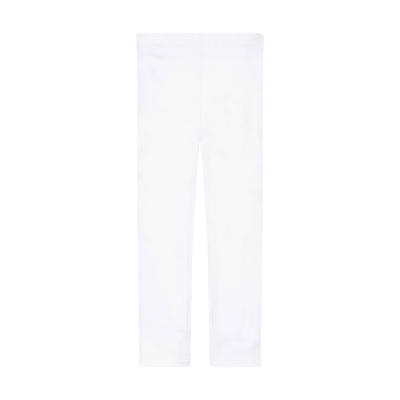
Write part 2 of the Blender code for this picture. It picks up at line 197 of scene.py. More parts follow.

# %% [markdown]
# ## Creases
#
# The creases were found on the photograph and measured in millimetres of cloth. Each one is a
# soft trough or ridge with a middle, a direction, a length and a width. A bell curve along it and
# another one across it give its height, so it has no edge anywhere. A real hand never leaves two
# creases alike, and neither does the table.
#
# The back lies on the table. Its creases can only be hollows, and they are shallower.

# %% Creases of the front and the back
Crease = namedtuple("Crease", "across down angle length width height")
CREASE_BOWS = 0.33  # how far its middle line wanders, as a share of its half width
FRONT_CREASES = (
    # middle in mm, angle in degrees from across towards the hem, length, width and height in mm
    (111.0, 13, 95, 44, 26.0, -0.55),  # the waistband's ends roll down
    (118.0, 7, 10, 34, 24.0, -0.90),
    (88.0, 9, 8, 40, 16.0, -0.22),
    (101.0, 28, 0, 34, 18.0, -0.42),
    (-112.0, 6, 10, 20, 14.0, -0.45),
    (-95.0, 30, 4, 36, 12.0, -0.22),
    (-117.0, 28, 85, 50, 9.0, -0.34),
    (-106.0, 27, 20, 24, 10.0, -0.32),
    (-120.0, 21, 90, 14, 6.0, -0.45),
    (-82.0, 24, 10, 30, 9.0, -0.38),
    (-37.0, 27, 12, 20, 8.0, -0.42),
    (3.0, 18, 90, 16, 6.0, -0.28),
    (-82.0, 46.5, 8, 46, 11.0, -0.88),  # below the waistband, wearer's right
    (-68.0, 38, 70, 12, 9.0, -0.32),
    (-80.0, 60, 12, 48, 11.0, 0.40),
    (-114.0, 40, 70, 28, 10.0, -0.42),
    (-90.0, 78, 66, 32, 13.0, -0.66),
    (-112.0, 99, 90, 56, 16.0, -0.58),
    (-118.0, 79, 90, 22, 8.0, -0.40),
    (-117.0, 122, 90, 24, 9.0, -0.36),
    (-113.0, 143, 86, 26, 14.0, -0.55),
    (-73.0, 148, 18, 18, 11.0, -0.32),
    (-52.0, 96, 118, 46, 16.0, 0.30),
    (-28.0, 170, 90, 12, 8.0, -0.28),
    (5.8, 43, 20, 11, 8.0, -0.45),  # puckers beside the centre seam
    (5.2, 68, -15, 10, 8.0, -0.40),
    (-6.0, 92, 80, 20, 7.0, 0.22),
    (-7.0, 131, 95, 26, 7.0, -0.22),
    (10.0, 171, 10, 24, 9.0, -0.25),
    (93.0, 42, 78, 32, 11.0, -0.60),  # below the waistband, wearer's left
    (107.0, 42, 0, 18, 12.0, -0.35),
    (109.0, 56, 70, 22, 9.0, 0.22),
    (70.0, 46, 70, 34, 12.0, 0.22),
    (60.0, 52, 8, 34, 12.0, -0.15),
    (106.0, 105, 90, 110, 26.0, -0.16),
    (82.0, 78, 90, 50, 34.0, -0.16),
    (106.0, 86, 60, 22, 10.0, -0.32),
    (117.0, 104, 90, 34, 8.0, -0.40),
    (103.0, 113, 90, 18, 7.0, -0.30),
    (88.0, 171, 91, 92, 19.0, -0.58),  # the long soft hollow down the hip
    (87.0, 167, 40, 10, 8.0, -0.20),
    (106.0, 150, 88, 80, 12.0, 0.15),
    (26.0, 133, 60, 15, 9.0, -0.26),
    (45.0, 126, -12, 24, 12.0, -0.38),
    (55.0, 150, 84, 26, 13.0, -0.32),
    (72.0, 135, 40, 20, 13.0, -0.26),
    (54.0, 178, 70, 20, 12.0, -0.22),
    (115.0, 196, 88, 34, 9.0, -0.65),
    (17.5, 196, 8, 32, 16.0, -0.24),  # round the crotch
    (27.0, 203, 80, 16, 10.0, -0.18),
    (15.0, 216, 70, 20, 10.0, -0.24),
    (-13.0, 214, 75, 22, 10.0, -0.28),
    (13.5, 241, 77, 50, 10.0, -0.42),
    (24.0, 236, 74, 46, 10.0, 0.30),
    (41.0, 234, 14, 28, 12.0, -0.55),
    (-10.0, 280, 92, 20, 10.0, -0.50),
    (-27.0, 252, 104, 50, 12.0, 0.28),
    (-103.0, 195, 66, 26, 9.0, -0.30),  # down the wearer's right leg
    (-112.0, 229, 90, 34, 18.0, -0.40),
    (-116.5, 270, 78, 34, 9.0, -0.75),
    (-104.0, 296, 66, 20, 10.0, -0.25),
    (-119.0, 363, 90, 36, 7.0, -0.55),
    (-116.0, 386, 60, 18, 9.0, -0.40),
    (-100.0, 397, 30, 24, 12.0, -0.38),
    (-19.0, 372, 93, 120, 10.0, 0.20),
    (-26.0, 369, 94, 34, 10.0, -0.12),
    (-36.5, 387, 10, 26, 10.0, 0.40),
    (-42.0, 422, 60, 26, 12.0, -0.35),
    (-91.0, 455, 95, 20, 12.0, -0.30),
    (-115.0, 474, 90, 40, 8.0, -0.32),
    (-113.0, 546, 90, 64, 10.0, -0.60),
    (-52.0, 549, 40, 30, 14.0, -0.30),
    (-50.0, 527, 100, 40, 12.0, 0.22),
    (-21.0, 532, 92, 60, 9.0, -0.65),
    (-92.0, 545, 90, 90, 40.0, -0.09),
    (115.0, 264, 88, 30, 9.0, -0.42),  # down the wearer's left leg
    (103.0, 262, 60, 24, 12.0, 0.25),
    (102.0, 308, 60, 18, 12.0, -0.32),
    (116.0, 318, 88, 34, 8.0, -0.65),
    (107.0, 352, 92, 90, 18.0, -0.27),
    (14.5, 352, 86, 60, 6.0, -0.35),
    (17.5, 425, 88, 90, 6.0, -0.65),
    (18.5, 476, 90, 40, 6.0, -0.45),
    (26.0, 322, 84, 30, 9.0, -0.40),
    (20.0, 364, 87, 44, 7.0, 0.22),
    (27.5, 392, 86, 50, 7.0, -0.48),
    (30.0, 478, 88, 54, 10.0, -0.50),
    (35.0, 446, 88, 40, 10.0, -0.42),
    (53.5, 381, 88, 32, 10.0, -0.32),
    (88.0, 408, 100, 30, 12.0, -0.42),
    (81.0, 430, 80, 30, 14.0, -0.20),
    (110.0, 424, 90, 34, 10.0, -0.28),
    (26.0, 530, 90, 64, 13.0, -0.62),
    (82.0, 548, 112, 24, 10.0, -0.36),
    (84.0, 530, 90, 12, 8.0, -0.28),
    (102.0, 552, 90, 40, 12.0, -0.22),
    (100.0, 490, 90, 150, 40.0, -0.13),
    (113.0, 536, 90, 36, 8.0, -0.48),
    (113.0, 570, 90, 30, 9.0, -0.70),
    (27.5, 560, 84, 44, 9.0, -0.50),  # round the wearer's left ankle
    (45.0, 589, 3, 40, 20.0, -0.70),
    (31.0, 604, 80, 34, 17.0, -0.45),
    (47.0, 612, 0, 24, 12.0, -0.25),
    (77.0, 588, 14, 24, 12.0, -0.52),
    (78.0, 571, 120, 18, 10.0, -0.32),
    (70.0, 613, 155, 42, 12.0, -0.28),
    (57.0, 603, 0, 20, 10.0, -0.28),
    (101.0, 604, 150, 36, 18.0, -0.80),
    (108.0, 606, 100, 34, 15.0, -0.78),
    (112.0, 622, 90, 32, 8.0, -0.25),
    (90.0, 596, 60, 20, 9.0, 0.20),
    (111.0, 634, 70, 26, 12.0, -0.62),
    (80.0, 626, 0, 50, 22.0, -0.28),
    (23.0, 628, 90, 34, 14.0, -0.45),
    (-37.0, 572, 35, 20, 10.0, -0.60),
    (-25.0, 574, 80, 30, 10.0, -0.45),  # round the wearer's right ankle
    (-20.5, 580, 90, 46, 10.0, -1.00),
    (-35.0, 594, 96, 32, 12.0, -0.48),
    (-21.0, 624, 90, 46, 13.0, -1.05),
    (-38.0, 626, 0, 26, 18.0, -0.25),
    (-33.0, 613, 60, 28, 14.0, -0.45),
    (-32.0, 633, 0, 30, 12.0, -0.62),
    (-80.0, 603, 66, 22, 12.0, -0.25),
    (-62.0, 611, 10, 50, 18.0, -0.30),
    (-70.0, 567, 20, 36, 14.0, -0.22),
    (-96.0, 592, 60, 26, 14.0, 0.36),
    (-92.0, 621, 4, 34, 7.0, -0.30),
    (-114.0, 611, 86, 38, 10.0, -0.52),
)
BACK_CREASES = (
    (-70.0, 52, 16, 46, 12.0, -0.35),
    (78.0, 60, 60, 40, 12.0, -0.35),
    (-30.0, 118, 82, 50, 14.0, -0.25),
    (48.0, 150, 100, 60, 16.0, -0.30),
    (-20.0, 206, 15, 32, 14.0, -0.35),
    (22.0, 222, 70, 44, 12.0, -0.35),
    (-84.0, 300, 75, 60, 16.0, -0.30),
    (70.0, 352, 95, 70, 16.0, -0.25),
    (-52.0, 455, 84, 60, 16.0, -0.30),
    (46.0, 520, 110, 50, 16.0, -0.30),
    (-82.0, 588, 20, 32, 14.0, -0.40),
    (88.0, 596, 150, 34, 14.0, -0.40),
)


def creased(table, across, down):
    """Sum of bells: each crease is height * bell(along it / half length) * bell(beside it / half width).

    A crease isn't straight. Its middle line wanders by a third of its half width, as a slow sine.
    """
    height = np.zeros(np.broadcast(across, down).shape)
    for crease in (Crease(*row) for row in table):
        angle = math.radians(crease.angle)
        dx = 1000 * across - crease.across
        dy = 1000 * down - crease.down
        lengthwise = (dx * math.cos(angle) + dy * math.sin(angle)) / (crease.length / 2)
        sideways = (dy * math.cos(angle) - dx * math.sin(angle)) / (crease.width / 2)
        sideways = sideways + CREASE_BOWS * np.sin(2.2 * lengthwise + crease.down)
        height += 0.001 * crease.height * bell(lengthwise) * bell(sideways)
    return height


print("%d creases on the front, %d on the back" % (len(FRONT_CREASES), len(BACK_CREASES)))

# %% [markdown]
# ## Painted shade and tint of a place
#
# Two looks belong to places on the cloth, so they are worked out beside the relief. Each point stores
# them as attributes, and the material reads those. The first is painted shade: the creases, a band
# beside each fold and the waist edge, and a strip above each hem are darkened in the colour, more than
# such a shallow form shows under soft lamps alone. The second is a lilac tint, painted where the white
# lies in shade round the waist and the ankles, beside the folds and at the crotch. A fade or a bell
# gives each of those places, and one minus the product of what they leave joins them without a border.
# The very rims of the folds stay white.
#
# Like the creases, these places were found on the photograph. They are in metres of cloth.

# %% Painted shade of a place
FULL_PAINTED_SHADE_DEPTH = 0.0012  # the crease depth that counts as full painted shade
OUTER_FOLD_PAINTED_SHADE = Hump(0.00050, 0.0026, 0.0017)  # painted shade beside a fold, as the depth of a crease
INNER_FOLD_PAINTED_SHADE = Hump(0.00030, 0.0016, 0.0017)  # painted shade the same way at an inner fold or the waist edge
ABOVE_HEM_PAINTED_SHADE = Hump(0.00020, LENGTH - 0.0240, 0.0032)  # painted shade where the cloth steps down from the hem's layers
PAINTED_SHADE_EASES = 0.3  # how much weaker the folds' painted shade is below the waistband
PAINTED_SHADE_GROWS = 0.8  # and how much stronger it is again at the hems


def painted_shade_share(across, down, front, from_outer, from_inner):
    """Share of painted shade, 0 to 1: how deep the creases of the front or the back lie, over 1.2 mm.

    Painted shade beside the folds counts as a shallow crease of its own, at the distances from_outer
    and from_inner, as does a strip above each hem. The folds' shade is deepest at the waist and the hems.
    """
    depth = -front * creased(FRONT_CREASES, across, down)
    depth = depth - (1 - front) * creased(BACK_CREASES, across, down)
    # how strong the folds' painted shade is, down the garment
    pressed = 1 - PAINTED_SHADE_EASES * rises(down, 0.030, 0.030) + PAINTED_SHADE_GROWS * rises(down, 0.540, 0.080)
    depth = depth + pressed * (humps(from_outer, OUTER_FOLD_PAINTED_SHADE) + humps(from_inner, INNER_FOLD_PAINTED_SHADE))
    depth = depth + front * humps(down, ABOVE_HEM_PAINTED_SHADE)
    return np.clip(depth / FULL_PAINTED_SHADE_DEPTH, 0, 1)


print("a hollow is whole at %.1f mm" % (1000 * FULL_PAINTED_SHADE_DEPTH))

# %% Tint of a place: a painted lilac tint of shade
LILAC_TO_SPARE = 0.125  # what the slow tone of the material takes away again
WAIST_ENDS = 0.058  # how far down the waist's lilac reaches
FURTHER_RIGHT = 0.097  # how much further it reaches at the wearer's right fold
FURTHER_LEFT = 0.037
FURTHER_AT_SEAM = Hump(0.028, -0.008, 0.012)
ANKLES_START = 0.490  # how far down the ankles' lilac starts
BORDER_SLANTS = 2.9  # how steeply its border rises to the right fold
WAIST_SOFTNESS = 0.045
ANKLES_SOFTNESS = 0.050
RIM_WHITE = 0.85  # how much of the white the rims of the folds keep
RIM_WIDTH = 0.0026
FAR = 1.0  # further than any shade or tint reaches


def past_border(distance, softness):
    """0 well before a border, a half on it and 1 well past it."""
    return smooth_step(distance / softness + 0.5)


def lilac_ends(across, down):
    """Two shares of lilac: above a border at the waist, and below one at the ankles.

    Both borders run towards the knee along the wearer's right fold, and the hem of that leg is white.
    """
    right = across < 0
    uneven = down + 0.008 * np.sin(across / 0.010 + down / 0.020)
    at_right = FURTHER_RIGHT * rises(-across, 0.050, 0.050)
    at_left = FURTHER_LEFT * rises(across, 0.050, 0.045)
    waist_ends = WAIST_ENDS + np.where(right, at_right, at_left) + humps(across, FURTHER_AT_SEAM)
    waist = past_border(waist_ends - uneven, WAIST_SOFTNESS)
    slanted = np.clip(BORDER_SLANTS * (across + 0.070), -0.110, 0.080)
    ankles = past_border(uneven - ANKLES_START - np.where(right, slanted, 0), ANKLES_SOFTNESS)
    white_hem = rises(down, 0.588, 0.016) * rises(-across, 0.030, 0.020)
    return waist, ankles * (1 - white_hem)


def lilac_beside(across, down, inner, outer):
    """Three shares of lilac: beside the side folds, down the inseams and round the crotch."""
    right = across < 0
    sides = bell((outer - np.abs(across)) / np.where(right, 0.008, 0.020))
    inseams = bell((np.abs(across) - inner) / np.where(right, 0.022, 0.012))
    down_left = rises(down, 0.200, 0.015) * (1 - rises(down, 0.315, 0.025))
    inseams = inseams * np.where(right, rises(down, 0.255, 0.030), down_left)
    crotch = bell((across - 0.006) / 0.018) * bell((down - 0.192) / 0.020)
    return sides, inseams, crotch


def kept_white(across, down, inner, outer):
    """The share that no lilac reaches: most of a fold's rim, and a corner of each hem."""
    rim = np.minimum(outer - np.abs(across), np.where(down > RISE, np.abs(across) - inner, FAR))
    right_corner = rises(down, 0.545, 0.050) * bell((-across - inner) / 0.0065)
    left_corner = rises(down, 0.604, 0.012) * bell((outer - across) / 0.019)
    corner = np.where(across < 0, right_corner, left_corner)
    return np.maximum(RIM_WHITE * bell(rim / RIM_WIDTH), corner)


def lilac(across, down, inner, outer):
    """How far the white leans to lilac: one minus the product of what each place leaves of the white."""
    # painted shade: the lilac is a cool tint of the white where less light reaches it
    white = 1.0
    for share in lilac_ends(across, down) + lilac_beside(across, down, inner, outer):
        white = white * (1 - share)
    return LILAC_TO_SPARE + (1 - kept_white(across, down, inner, outer)) * (1 - white)


tints = lilac(0.05, np.array([0.01, 0.30]), 0.01, 0.12)
print("lilac at the waist %.2f, on the thigh %.2f" % tuple(tints))

# %% [markdown]
# ## Gathers, seams and stitched grooves
#
# The elastic is shorter than the cloth that it is sewn into, so the cloth stands up in small rounded
# ridges with narrow valleys between them. The absolute value of a cosine has just that shape. A little
# is added under a square root to soften the valleys, and slow waves make the ridges uneven in place and
# height. The two rows of stitches press the ridges flat, and below them the ridges die away in the legs.
#
# A sewn seam pulls its two edges down into a valley. The allowance, two layers of cloth turned to one
# side, lifts the front into a low step beside it.

# %% Gathers and stitched grooves
Wave = namedtuple("Wave", "strength length start")  # its length is over 2 pi
GATHERS_ON_FRONT = 36
GATHER_HEIGHT = 0.00070
GATHERS_MEAN = 0.62  # their mean share of that height
GATHERS_UNEVEN = (Wave(0.15, 0.0125, 0.7), Wave(0.09, 0.0049, 2))
GATHERS_FULLER = (Hump(0.30, 0.073, 0.024), Hump(0.12, -0.085, 0.030))
GATHERS_WANDER = (Wave(0.55, 0.0082, 0), Wave(0.45, 0.0213, 1))
GATHERS_FAN = (Wave(0.35, 0.0105, 0.6),)  # how they turn aside once they are below the waistband
VALLEY_ROUNDING = 0.03
GATHERS_FALL = 0.020  # how far down they begin to lose height
GATHERS_LEFT = 0.62  # the share of it that is left where the legs begin
GATHER_FADE = 0.016  # how far they reach into the legs
STITCHES_FLATTEN = 0.55  # the share of it that the stitched rows take

BAND_STITCHES = (0.0185, 0.0240)  # the two rows, as distances down
HEM_STITCHES = (LENGTH - 0.0180, LENGTH - 0.0125)
GROOVE_DEPTH = 0.00018
GROOVE_WIDTH = 0.0009
BAND_BULGE = Hump(0.00010, sum(BAND_STITCHES) / 2, 0.0016)  # between its two rows
HEM_BULGE = Hump(0.00003, sum(HEM_STITCHES) / 2, 0.0016)


def waves(terms, place):
    """The sum of a few waves, each strength * sin(place / length + start)."""
    return sum(wave.strength * np.sin(place / wave.length + wave.start) for wave in terms)


def stitched_rows(rows, down):
    """Share of a stitched groove at each place: the sum of a bell at each row of stitches."""
    return sum(bell((down - row) / GROOVE_WIDTH) for row in rows)


def gathers(place, down, front):
    """How far the gathers stand out of the skin, at `place` round the garment from the centre front.

    Each ridge is sqrt(cos^2 + a little). On the front the ridges rise half above the skin. On the back
    they only sink into it, because the table carries their tops.
    """
    pitch = 2 * OUTLINE[0].outer / GATHERS_ON_FRONT
    phase = waves(GATHERS_WANDER, place) + rises(down, BAND_DEPTH, 0.03) * waves(GATHERS_FAN, place)
    ridge = np.sqrt(np.cos(math.pi * place / pitch + phase / 2) ** 2 + VALLEY_ROUNDING)
    uneven = GATHERS_MEAN + waves(GATHERS_UNEVEN, place) + humps(place, *GATHERS_FULLER)
    pressed = 1 - STITCHES_FLATTEN * np.minimum(stitched_rows(BAND_STITCHES, down), 1)
    reach = 1 - (1 - GATHERS_LEFT) * rises(down, GATHERS_FALL, BAND_DEPTH - GATHERS_FALL)
    reach = reach * bell(np.maximum(down - BAND_DEPTH, 0) / GATHER_FADE)
    return GATHER_HEIGHT * reach * (ridge * uneven * pressed - 1 + 0.5 * front)


def grooves(down):
    """The stitched rows sink a little, and the cloth bulges between them."""
    pressed = stitched_rows(BAND_STITCHES, down) + stitched_rows(HEM_STITCHES, down)
    return -GROOVE_DEPTH * np.minimum(pressed, 1) + humps(down, BAND_BULGE, HEM_BULGE)


print("%d gathers across the front" % GATHERS_ON_FRONT)

# %% Seams, and the unevenness of smoothed cloth
SEAM_VALLEY = Hump(-0.00024, 0, 0.0008)
SEAM_SHOULDER = Hump(0.00006, 0.0024, 0.0014)  # its top is that far from the seam
INSEAM_EASES = {1: 0.27, -1: 0.45}  # how much less tight the inseam of each side is pulled
ALLOWANCE_WIDTH = 0.0085
ALLOWANCE_HEIGHT = 0.00045
ALLOWANCE_RISE = 0.0015
ALLOWANCE_FALL = 0.0030
PUCKERS = Hump(0.00010, 0.004, 0.004)


def seam_valley(beside):
    """A valley at the seam line, with a low shoulder where the cloth turns down into it."""
    return humps(beside, SEAM_VALLEY) + humps(np.abs(beside), SEAM_SHOULDER)


def seam_pull(side, down):
    """How tight the seams are pulled: 0.7 on the hips, less beside the gathers and down the inseams."""
    return 0.3 + 0.4 * rises(down, 0.045, 0.030) - INSEAM_EASES[side] * rises(down, RISE, 0.030)


def allowance(beside):
    """The step over a seam allowance: up within 1.5 mm of the seam, and gently down past its edge."""
    past_edge = rises(beside, ALLOWANCE_WIDTH, ALLOWANCE_FALL)
    return ALLOWANCE_HEIGHT * rises(beside, 0, ALLOWANCE_RISE) * (1 - past_edge)


def puckers(beside, down):
    """Short waves that the thread's tension draws up beside a seam, uneven in length."""
    wave = np.sin(down / 0.0021 + 1.7 * np.sin(down / 0.013)) + 0.6 * np.sin(down / 0.0047 + 0.5)
    return wave * humps(np.abs(beside), PUCKERS)


def hand_smoothed(across, down):
    """The faint unevenness that is left in smoothed cloth: crossed waves of unequal lengths."""
    first = np.sin(across / 0.0110 + 2.0 * np.sin(down / 0.031))
    first = first * np.sin(down / 0.0170 + 1.3 * np.sin(across / 0.023))
    second = np.sin(across / 0.0190 + down / 0.0260) * np.sin(down / 0.0350 - across / 0.0410 + 0.8)
    return 0.00009 * first + 0.00014 * second


print("seam allowances %.1f mm wide" % (1000 * ALLOWANCE_WIDTH))

# %% [markdown]
# ## One skin for the whole garment
#
# Cut through a leg that lies flat and you see a racetrack: two straight layers joined by two half
# circles. A place on it is the distance `along` from half way up the inner fold, over the front, round
# the outer fold and back underneath. The arcs turn the outward normal, and the straights slide the
# point sideways, so `np.clip` can pick out how much of each stretch has been covered, for a whole grid
# of places at once. Each row of a grid has its own section, so its measures are kept together.
#
# The front layer isn't level, so its points are lifted or lowered afterwards, by an amount that is zero
# half way up the folds and full on top.

# %% Section and height of the garment
FOLD_REACH = 0.011  # how far in from a side fold the front is held up by it
CENTRE_REACH = 0.016  # how far to each side the centre seam presses the front flat
SEAM_STARTS = 0.020  # where its hold begins below the waist edge
SEAM_GROWS = 0.020  # the length over which it grows from there
SEAM_FADES = 0.020  # and the length over which it ends above the crotch
FRONT_SLIDES = Hump(0.0015, 0, 0.05)  # how far the centre front seam lies off the middle
RELIEF_FADE = (-0.0021, 0.006)  # from beyond a side fold, so that over a quarter is left on it

Section = namedtuple("Section", "inner outer between radius quarter flat")
Track = namedtuple("Track", "x z normal_x normal_z")


def section_of(inner, outer, radius):
    """A section's two folds, half the gap that shows, a quarter of a fold and the flat of a layer."""
    flat = outer - inner - 2 * radius
    return Section(inner, outer, np.maximum(inner, 0), radius, math.pi / 2 * radius, flat)


def racetrack(along, section):
    """x, z and the outward normal of places on the section.

    The angle turned is the arc covered / radius, and the slide is front covered - back covered.
    """
    quarter, flat, radius = section.quarter, section.flat, section.radius
    along = np.mod(along, 4 * quarter + 2 * flat)

    def covered(start, length):
        return np.clip(along - start, 0, length)

    arcs = covered(0, quarter) + covered(quarter + flat, 2 * quarter)
    arcs = arcs + covered(3 * quarter + 2 * flat, quarter)
    slid = covered(quarter, flat) - covered(3 * quarter + flat, flat)
    normal_x = -np.cos(arcs / radius)
    normal_z = np.sin(arcs / radius)
    x = section.inner + radius + slid + radius * normal_x
    return Track(x, radius + radius * normal_z, normal_x, normal_z)


def on_front(track, section):
    """1 on the front and 0 on the back, with a smooth step up the folds."""
    return smooth_step((track.z - section.radius) / section.radius)


def to_fold(across, section):
    """How far in from the nearer side fold of a leg."""
    return np.minimum(np.abs(across) - section.between, section.outer - np.abs(across))


def front_lift(side, across, down, section):
    """How far the front stands above its section: nothing at the folds, the lay's height between them.

    The centre seam presses it level, and the seam's allowance lifts it on the wearer's left.
    """
    at_folds = 2 * section.radius
    middle = curve_through(LAY, "front", down)
    height = middle + (at_folds - middle) * bell(to_fold(across, section) / FOLD_REACH)
    held = smooth_step((RISE - down) / SEAM_FADES) * rises(down, SEAM_STARTS, SEAM_GROWS)
    height = height + held * (middle - height) * bell(across / CENTRE_REACH)
    if side > 0:
        height = height + held * allowance(across)
    return height - at_folds


def front_slides(across, down, front):
    """How far the front has slid to the wearer's left: a hump round the centre seam, to the crotch."""
    return front * humps(across, FRONT_SLIDES) * smooth_step((RISE - down) / SEAM_FADES)


def front_creases(across, down, section):
    """Creases and unevenness of the front, which fall off in the last 4 mm towards a side fold."""
    relief = creased(FRONT_CREASES, across, down) + hand_smoothed(across, down)
    return relief * rises(to_fold(across, section), *RELIEF_FADE)


def skin_points(side, track, outwards, y, lift, slide):
    """Points that stand `outwards` of the section, with the front lifted and slid."""
    x = side * (track.x + outwards * track.normal_x) + slide
    z = track.z + outwards * track.normal_z + lift
    return np.stack(np.broadcast_arrays(x, y, z), axis=-1)


def skin_normals(side, track):
    """The section's outward directions, as if the cloth had no relief."""
    return np.stack([side * track.normal_x, np.zeros_like(track.x), track.normal_z], axis=-1)


def looks_of(across, down, front, section, from_inner):
    """The painted shade and the painted lilac tint of each point, under the names that the material
    reads.
    """
    from_outer = section.outer - np.abs(across)
    return {
        "PaintedShade": painted_shade_share(across, down, front, from_outer, from_inner),
        "Lilac": lilac(across, down, section.between, section.outer),
    }


print("folds at the hips %.1f mm high" % (2000 * curve_through(LAY, "fold", HIPS)[0]))

# %% [markdown]
# ## From grid to mesh
#
# A surface that is worked out on a grid needs no modelling: each cell of the grid is a face. Where a
# grid closes on itself, the last row or column shares its points with the first, so the mesh is closed
# with no doubled points to merge. The cloth also gets a UV map in metres, which later lets the knit
# follow the cloth round the folds. UVs belong to face corners, so they can run on past the place
# where the grid closes.
#
# The sign of the enclosed volume tells whether the faces point outwards, and turns them if they don't.

# %% Meshes from grids
def grid_faces(rows, columns, wrap_rows, wrap_columns):
    """Row and column numbers of each face's four corners. A wrapped grid has one more face that way."""
    row = np.arange(rows if wrap_rows else rows - 1)[:, None, None]
    column = np.arange(columns if wrap_columns else columns - 1)[None, :, None]
    row = row + np.array([0, 0, 1, 1])
    column = column + np.array([0, 1, 1, 0])
    row, column = np.broadcast_arrays(row, column)
    return row.reshape(-1, 4), column.reshape(-1, 4)


def enclosed_volume(points, quads):
    """Sum of the signed tetrahedra between the origin and each face's two triangles."""
    a, b, c, d = (points[quads[:, corner]] for corner in range(4))
    first = np.einsum("ij,ij->i", a, np.cross(b, c))
    second = np.einsum("ij,ij->i", a, np.cross(c, d))
    return (first + second).sum() / 6


def make_piece(name, points, quads, uv, looks=None):
    """A mesh object with its faces turned outwards, smooth but for its sharp edges.

    `looks` holds the values of each point that the cloth's finish reads by name: painted shade and tint.
    """
    if enclosed_volume(points, quads) < 0:
        quads = quads[:, ::-1]
        uv = uv[:, ::-1]
    mesh = bpy.data.meshes.new(name)
    mesh.from_pydata(points, [], quads)
    layer = mesh.uv_layers.new(name="Cloth")
    layer.data.foreach_set("uv", np.ascontiguousarray(uv, dtype=np.float32).ravel())
    for look, values in (looks or {}).items():
        attribute = mesh.attributes.new(look, "FLOAT", "POINT")
        attribute.data.foreach_set("value", values.astype(np.float32).ravel())
    mesh.shade_smooth()
    mesh.set_sharp_from_angle(angle=math.radians(60))
    piece = bpy.data.objects.new(name, mesh)
    bpy.context.scene.collection.objects.link(piece)
    print("%s: %d triangles, %.1f cm3" % (name, 2 * len(quads), 1e6 * enclosed_volume(points, quads)))
    return piece


# %% [markdown]
# ## The legs
#
# Each leg is one cut piece with no side seam. Its front seam edge starts at the centre front, and its
# back seam edge ends at the centre back. Above the crotch both lie beside the middle. Just above the
# crotch they draw together, and below it they meet in the inseam. As the garment was smoothed out, the
# inseam rolled a little on to the front, so it shows inside each leg's inner edge.
#
# The grid's rows run down the leg, closer together where more happens. Its columns go round from seam
# edge to seam edge. Five stretches have their own number of columns, so the folds and seams get enough
# without crowding the flat back.

# %% Rows and columns of a leg
CLOSING_LENGTH = 0.006  # front and back draw together over this length above the crotch
INSEAM_ROLL = 0.0058
ROLL_LENGTH = 0.055
EDGE_BAND = 0.014  # the strip beside the front seam edge that has closer columns
BACK_EDGE = 0.006

Pace = namedtuple("Pace", "start end step")
LEG_ROWS = (
    Pace(BAND_DEPTH + SEAM_GAP, 0.070, 0.0013),
    Pace(0.070, 0.190, 0.0028),
    Pace(0.190, 0.270, 0.0016),
    Pace(0.270, 0.560, 0.0032),
    Pace(0.560, LENGTH - HEM_DEPTH - SEAM_GAP, 0.0018),
)
LEG_COLUMNS = (18, 70, 10, 26, 20)  # beside the front seam, front, outer fold, back, beside the back seam


def paced(stretches):
    """Distances that cover each stretch in steps close to the one it names."""
    runs = []
    for stretch in stretches:
        steps = round((stretch.end - stretch.start) / stretch.step)
        runs.append(np.linspace(stretch.start, stretch.end, steps, endpoint=False))
    return np.concatenate(runs + [[stretches[-1].end]])


def between_marks(marks, counts):
    """Columns that split each stretch between two marks evenly. marks has a column for each mark."""
    station = np.concatenate([i + np.arange(n) / n for i, n in enumerate(counts)] + [[len(counts)]])
    low = np.minimum(station.astype(int), len(counts) - 1)
    share = station - low
    return marks[:, low] * (1 - share) + marks[:, low + 1] * share


def drawn_together(down):
    """0 where the front and back lie apart above the crotch, rising evenly to 1 where they meet."""
    return np.clip((down - RISE + CLOSING_LENGTH) / CLOSING_LENGTH, 0, 1)


def leg_section(down):
    """A leg's section, row by row. Above the crotch its two layers start at the middle.

    The inner fold then lies past the middle, and the seam edges cut it off.
    """
    radius = curve_through(LAY, "fold", down)
    gap = np.maximum(curve_through(OUTLINE, "inner", down), SEAM_GAP / 2)
    inner = gap - radius * (1 - np.sin(drawn_together(down) * math.pi / 2))
    return section_of(inner, curve_through(OUTLINE, "outer", down), radius)


def leg_seam_edges(down, section):
    """Distances round the section of the front and back seam edges, row by row."""
    rolled = (section.quarter + INSEAM_ROLL) * rises(down, RISE, ROLL_LENGTH)
    from_fold = np.maximum((1 - drawn_together(down)) * section.quarter, SEAM_GAP / 2)
    return rolled + from_fold, rolled + 2 * section.flat + 4 * section.quarter - from_fold


def leg_columns(section, first, last):
    """Distances round the section of a leg's columns, from its front seam edge to its back one."""
    front_end = section.quarter + section.flat
    fold_end = front_end + 2 * section.quarter
    back_edge = 3 * section.quarter + 2 * section.flat - BACK_EDGE
    marks = np.hstack([first, first + EDGE_BAND, front_end, fold_end, back_edge, last])
    return between_marks(marks, LEG_COLUMNS)


print("%d rows down a leg, %d columns round it" % (len(paced(LEG_ROWS)), sum(LEG_COLUMNS) + 1))

# %% Make the legs
Grid = namedtuple("Grid", "points normal along down looks")
OVER_TABLE = 0.003  # relief may rise on the front, and only sink where the table is under it
DEEPEST_RELIEF = 0.75  # as a share of the cloth's thickness
LAYERS_APART = 0.0003  # the least air between the front and the back
ALLOWANCE_STARTS = 0.012  # how far below the crotch the inseam's allowance starts to show
ALLOWANCE_FADE = 0.030


def leg_lift(side, across, down, section, front, beside_front_edge):
    """How far the front of a leg is lifted: its creases and the inseam's allowance too.

    It stays clear of the back by a little more than both layers' cloth.
    """
    lift = front_lift(side, across, down, section)
    lift = lift + rises(down, RISE + ALLOWANCE_STARTS, ALLOWANCE_FADE) * allowance(beside_front_edge)
    lift = front * (lift + front_creases(across, down, section))
    return np.maximum(lift, front * (2 * CLOTH + LAYERS_APART - 2 * section.radius))


def seam_relief(side, down, beside_front_edge, beside_back_edge):
    """Valleys and puckers at a leg's seam edges. At the back the puckers only sink."""
    valleys = seam_valley(beside_front_edge) + seam_valley(beside_back_edge)
    puckered = puckers(beside_front_edge, down) - np.abs(puckers(beside_back_edge, down))
    return seam_pull(side, down) * valleys + puckered


